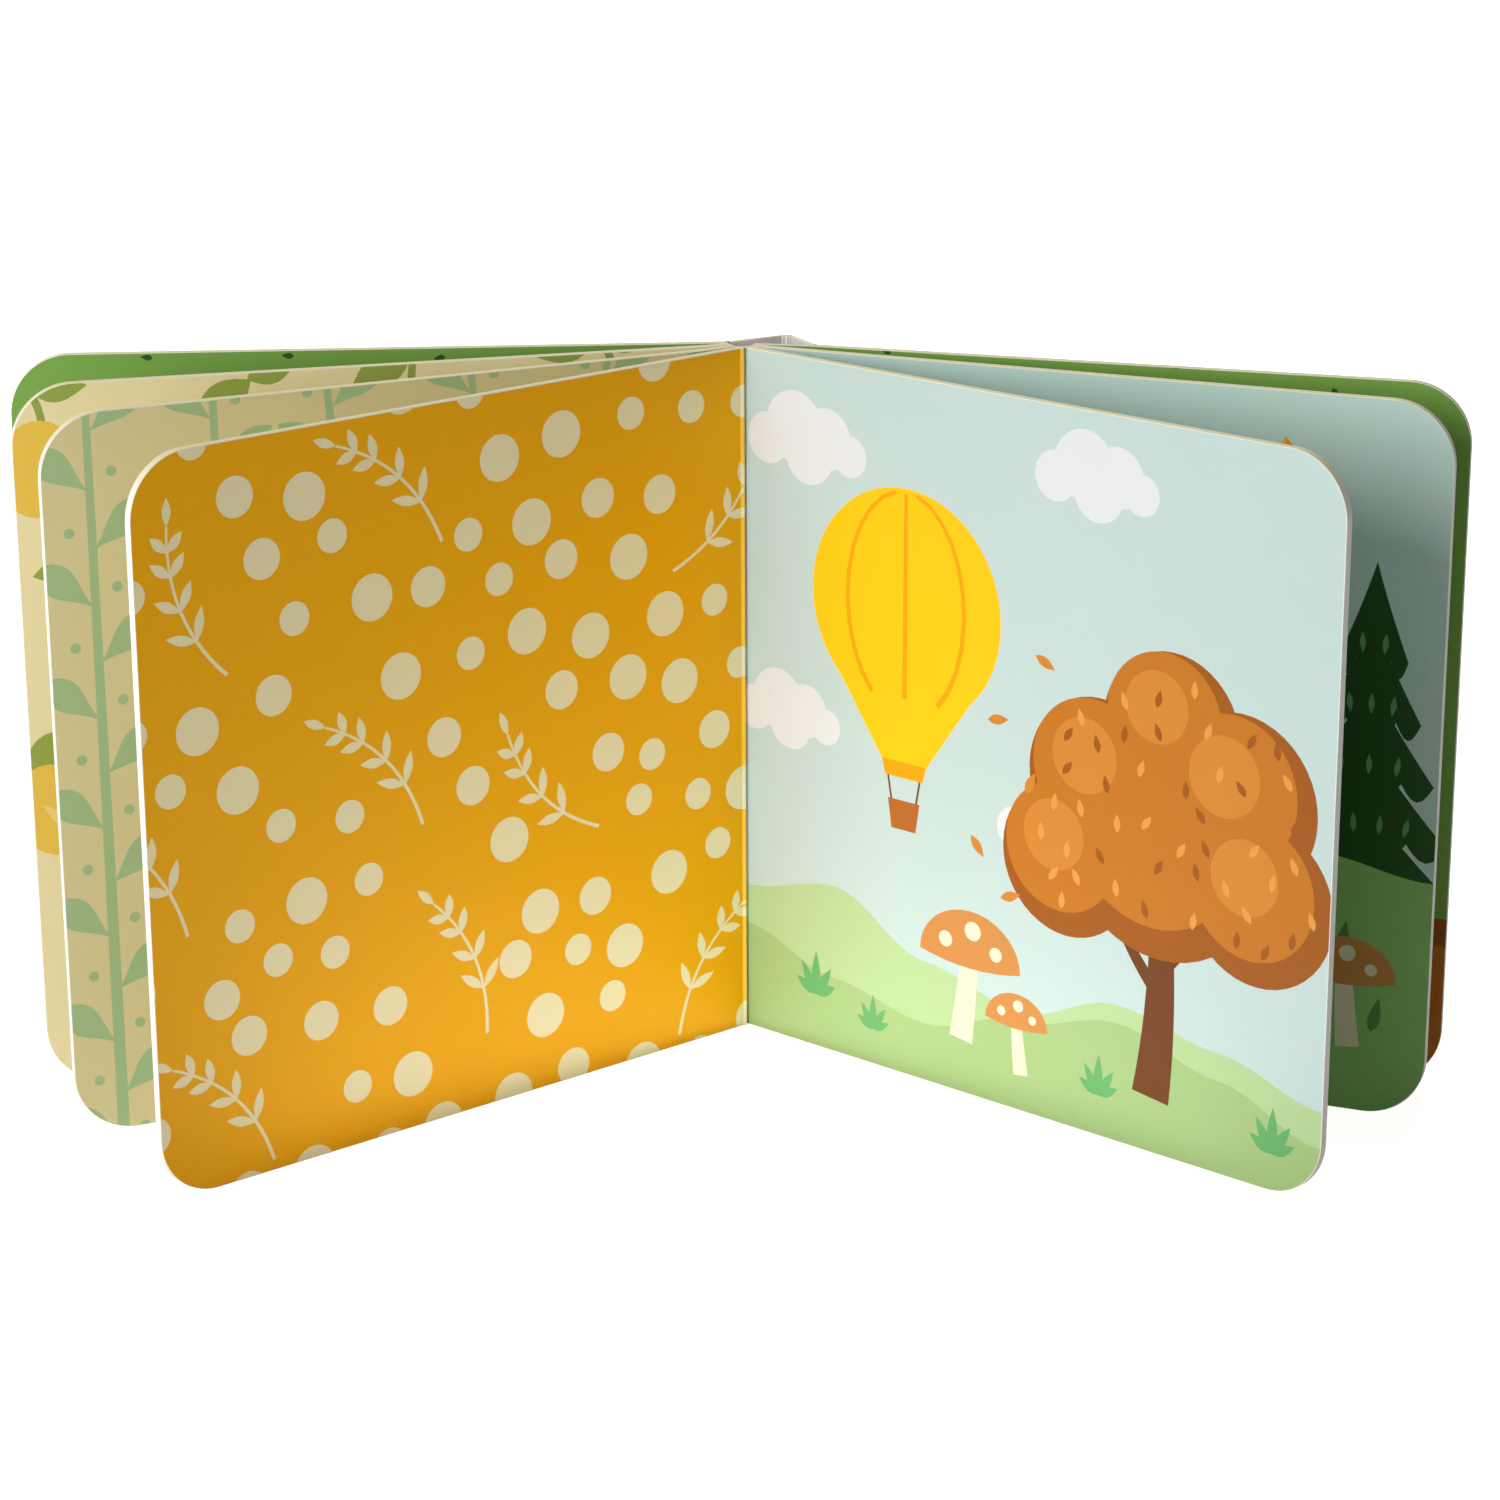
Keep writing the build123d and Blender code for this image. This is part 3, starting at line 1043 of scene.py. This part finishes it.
def thinned(depth, inner, away):
    """A depth in a card, pressed outwards at a run away from its crease."""
    if away < CREASE_GAP:
        thickness = CREASE_THICKNESS * away / CREASE_GAP
    else:
        bevel = (away - CREASE_GAP) / CREASE_BEVEL
        thickness = CREASE_THICKNESS + (CARD - CREASE_THICKNESS) * bevel
    through = (depth - inner) / CARD
    return depth + (1 - through) * (CARD - min(thickness, CARD))


def front_card_warp(x, depth):
    """The front card is thinned at its crease, and scored outside as far out as the back folds."""
    pressed = swell(x, FRONT_SCORE, SCORE_WIDTH) * SCORE_DEPTH * (depth - SHEET) / CARD
    return thinned(depth, SHEET, x) - pressed


def make_front():
    """The front cover's green inside and its card."""
    span, depths = (FOLD_CLEARANCE, WIDTH), (0.0, SHEET)
    inside = board("front_inside", front_path, span, depths, green_first, bare)
    finish_piece(inside, "front_cover", "printed_board", "front_pastedown")
    card = board(
        "front_card",
        front_path,
        (CREASE_TIP, WIDTH),
        (SHEET, SHEET + CARD),
        bare,
        film,
        stations=CREASE_STATIONS + steps_over(FRONT_SCORE, SCORE_WIDTH),
        warp=front_card_warp,
    )
    finish_piece(card, "front_cover", "cover_card", "front_cover")


def make_back():
    """The back cover's green inside, with its free stub at the fold, and its card."""
    inside = board("back_inside", stub_path, (SKIN_RUN, WIDTH), (0.0, SHEET), green_last, bare)
    finish_piece(inside, "back_cover", "printed_board", "back_pastedown")
    card = board(
        "back_card",
        back_path,
        (CREASE_TIP, back_run),
        (SHEET, SHEET + CARD),
        bare,
        film,
        stations=CREASE_STATIONS,
        warp=lambda x, depth: thinned(depth, SHEET, x),
    )
    finish_piece(card, "back_cover", "cover_card", "back_cover")


def make_skins():
    """The first and last spreads' folds, between the bound block and the covers."""
    skins = (
        ("front_skin", front_path, FOLD_CLEARANCE, "front_cover", green_first),
        ("back_skin", stub_path, SKIN_RUN, "back_cover", green_last),
    )
    for name, path, run, cover, print_ in skins:
        span, depths, plain = (0.0, run), (0.0, SHEET), (print_[0], [])
        steps = steps_over(run / 2, run)
        skin = board(name, path, span, depths, plain, bare, corner=0.0, stations=steps, soft=True)
        ends = [Vector((*path.point(x, SHEET / 2), 0.0)) * MM for x in (0.0, run)]
        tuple(ends[0])
        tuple(ends[1])
        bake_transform(skin)


def turned(direction, degrees):
    """A plan direction turned anticlockwise."""
    return Vector(laid([direction], 0.0, 0.0, degrees)[0])


def heading(direction):
    """A plan direction as a board's angle on the right side."""
    return -math.degrees(math.atan2(direction.y, direction.x))


def make_hollow_back():
    """The spine panel with the scored land at its fold, and the free hinge strip."""
    # The spine spans the full leaves, and in each cover half a leaf and the card
    spine_run = (len(LEFT_FAN) + len(RIGHT_FAN) + 1) * LEAF + 2 * CARD

    # The spine with its land, the strip and the reach between the creases make a triangle
    land = math.radians(LAND_TURN)
    link = Vector((spine_run + LAND_RUN * math.cos(land), -CARD - LAND_RUN * math.sin(land)))
    strip_link = math.hypot(STRIP_RUN, CARD)
    strip_lean = math.degrees(math.atan2(CARD, STRIP_RUN))
    reach = back_crease - front_crease
    cosine = (link.length**2 + reach.length**2 - strip_link**2) / (2 * link.length * reach.length)
    to_fold = turned(reach.normalized(), math.degrees(math.acos(cosine)))
    fold = front_crease + to_fold * link.length
    spine_out = turned(to_fold, -math.degrees(math.atan2(link.y, link.x)))
    strip_out = turned((back_crease - fold).normalized(), -strip_lean)
    land_out = turned(spine_out, -LAND_TURN)

    spine_path = Path(
        fold - land_out * LAND_RUN - spine_out * spine_run,
        RIGHT,
        heading(spine_out),
        (spine_run - SHARP_BEND / 2, SHARP_BEND, heading(land_out)),
        (spine_run + LAND_RUN, SHARP_BEND, heading(strip_out) - KNUCKLE_MARGIN),
    )
    strip_path = Path(fold, RIGHT, heading(strip_out))
    ridges = (spine_run, spine_run + LAND_RUN - RIDGE_WIDTH / 2)
    # The pale bands on the score ridges are painted highlights
    score_highlights = [upright_band("bare_score", x - RIDGE_WIDTH / 2, x + RIDGE_WIDTH / 2) for x in ridges]

    def spine_warp(x, depth):
        """The spine is thinned at its crease, and its scores stand up as ridges inside."""
        risen = sum(swell(x, ridge, RIDGE_WIDTH) for ridge in ridges) * RIDGE_HEIGHT
        return thinned(depth, 0.0, x) - (1 - depth / CARD) * risen

    spine = board(
        "spine_card",
        spine_path,
        (CREASE_TIP, spine_run + LAND_RUN + SHARP_BEND + KNUCKLE_RUN),
        (0.0, CARD),
        ("bare_card", score_highlights),
        film,
        corner=0.0,
        end_inks=("bare_card", "film_green"),
        stations=CREASE_STATIONS + [x for ridge in ridges for x in steps_over(ridge, RIDGE_WIDTH)],
        warp=spine_warp,
    )
    finish_piece(spine, "spine", "cover_card", "spine")
    strip = board(
        "strip_card",
        strip_path,
        (OPEN_FOLD_GAP, STRIP_RUN - CREASE_TIP),
        (0.0, CARD),
        bare,
        film,
        corner=0.0,
        end_inks=("film_green", "film_green"),
        stations=[STRIP_RUN - away for away in CREASE_STATIONS],
        warp=lambda x, depth: thinned(depth, 0.0, STRIP_RUN - x),
    )
    finish_piece(strip, "hinge_strip", "cover_card", "hinge_strip")


def crease_bead(name, crease, inward, body):
    """The film round the outside of a crease, which moves with one of the boards it joins."""
    middle = crease + inward * BEAD_RADIUS
    _, ring = disc("film_green", middle.x, middle.y, BEAD_RADIUS, steps=20)
    bead = prism(name, ring, "film_green", "bare_card")
    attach(bead, body)


def make_crease_films():
    """The film over each cover's crease, which moves with that cover."""
    front_in, back_in = -behind(LEFT, FRONT_ANGLE), -behind(RIGHT, BACK_ANGLE)
    crease_bead("front_crease_film", front_crease, front_in, "front_cover")
    crease_bead("back_crease_film", back_crease, back_in, "back_cover")


make_leaves()
make_folds()
make_front()
make_back()
make_skins()
make_hollow_back()
make_crease_films()


# Camera, floor and light


def make_camera():
    """The photograph's view: focal length and place solved from the book's own edges."""
    photo_width = 1500
    sensor_width = 36.0
    focal_pixels = 4140.06
    pitch = 0.3126
    roll = -0.0039
    eye = Vector((0.88, -852.96, 339.03)) * MM
    ahead = Vector((0.0, math.cos(pitch), -math.sin(pitch)))
    right = Vector((1.0, 0.0, 0.0))
    up = right.cross(ahead)
    across = right * math.cos(roll) + up * math.sin(roll)
    above = up * math.cos(roll) - right * math.sin(roll)
    data = bpy.data.cameras.new("camera")
    data.sensor_width = sensor_width
    data.lens = sensor_width * focal_pixels / photo_width
    data.clip_start = 0.01
    camera = placed("camera", data)
    turn = Matrix((across, above, -ahead)).transposed()
    camera.matrix_world = Matrix.Translation(eye) @ turn.to_4x4()
    bpy.context.scene.camera = camera


def seen_directly(tree):
    """A node output that is 1 for what the camera, a mirror or glass sees, and 0 for light."""
    nodes, links = tree.nodes, tree.links
    ray = nodes.new("ShaderNodeLightPath")
    total = ray.outputs["Is Camera Ray"]
    for name in ("Is Glossy Ray", "Is Transmission Ray"):
        either = nodes.new("ShaderNodeMath")
        either.operation = "MAXIMUM"
        links.new(total, either.inputs[0])
        links.new(ray.outputs[name], either.inputs[1])
        total = either.outputs[0]
    return total


def raised(tree, base, seen):
    """A node output of base for light, and of seen for what is seen directly."""
    blend = tree.nodes.new("ShaderNodeMath")
    blend.operation = "MULTIPLY_ADD"
    blend.inputs[1].default_value = seen - base
    blend.inputs[2].default_value = base
    tree.links.new(seen_directly(tree), blend.inputs[0])
    return blend.outputs[0]


def make_floor():
    """A wide white floor that looks evenly lit, gives light back and keeps the book's shadow."""
    half = 6.0
    below_book = 0.00005
    grey = 0.9
    corners = [(-half, -half, 0), (half, -half, 0), (half, half, 0), (-half, half, 0)]
    mesh = bpy.data.meshes.new("floor")
    mesh.from_pydata(corners, [], [(0, 1, 2, 3)])
    floor = placed("floor", mesh)
    floor.location.z = -below_book
    material = bpy.data.materials.new("floor_white")
    material.use_nodes = True
    tree = material.node_tree
    shader = tree.nodes["Principled BSDF"]
    shader.inputs["Base Color"].default_value = (grey, grey, grey, 1.0)
    shader.inputs["Roughness"].default_value = 0.9
    shader.inputs["Specular IOR Level"].default_value = 0.0
    shader.inputs["Emission Color"].default_value = (1.0, 1.0, 1.0, 1.0)
    tree.links.new(raised(tree, base=0.12, seen=0.9), shader.inputs["Emission Strength"])
    mesh.materials.append(material)
    floor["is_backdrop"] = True


def add_light(name, place, turn, size, power):
    """A soft square light at a place."""
    data = bpy.data.lights.new(name, "AREA")
    data.size = size
    data.energy = power
    light = placed(name, data)
    light.location = place
    light.rotation_euler = turn
    light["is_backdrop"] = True
    return light


def make_light():
    """A large key low on the left, lights behind and above, and the paper's own glow.

    The glow stands for light that the open pages give back. It looks up from between them.
    """
    world = bpy.data.worlds.new("surround")
    world.use_nodes = True
    sky = world.node_tree.nodes["Background"]
    sky.inputs["Color"].default_value = (1.0, 1.0, 1.0, 1.0)
    glow = raised(world.node_tree, base=0.08, seen=1.0)
    world.node_tree.links.new(glow, sky.inputs["Strength"])
    bpy.context.scene.world = world
    middle = Vector((0.0, 0.0, 0.07))
    for name, place, size, power in (
        ("key", (-1.05, -1.05, 0.56), 1.0, 21.0),
        ("back", (0.15, 1.5, 0.75), 1.0, 14.0),
        ("top", (0.0, 0.3, 1.2), 0.5, 3.3),
    ):
        turn = (middle - Vector(place)).to_track_quat("-Z", "Y").to_euler()
        add_light(name, place, turn, size, power)
    upwards = (math.pi, 0.0, math.pi / 4)
    paper = add_light("paper_glow", (0.0, -0.095, 0.0), upwards, size=0.13, power=0.06)
    paper.visible_camera = False


make_camera()
make_floor()
make_light()

bpy.context.scene.view_settings.view_transform = "Standard"
boxes = {"cad": cad_box, "visual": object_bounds()}
{name: [list(corner) for corner in box] for name, box in boxes.items()}
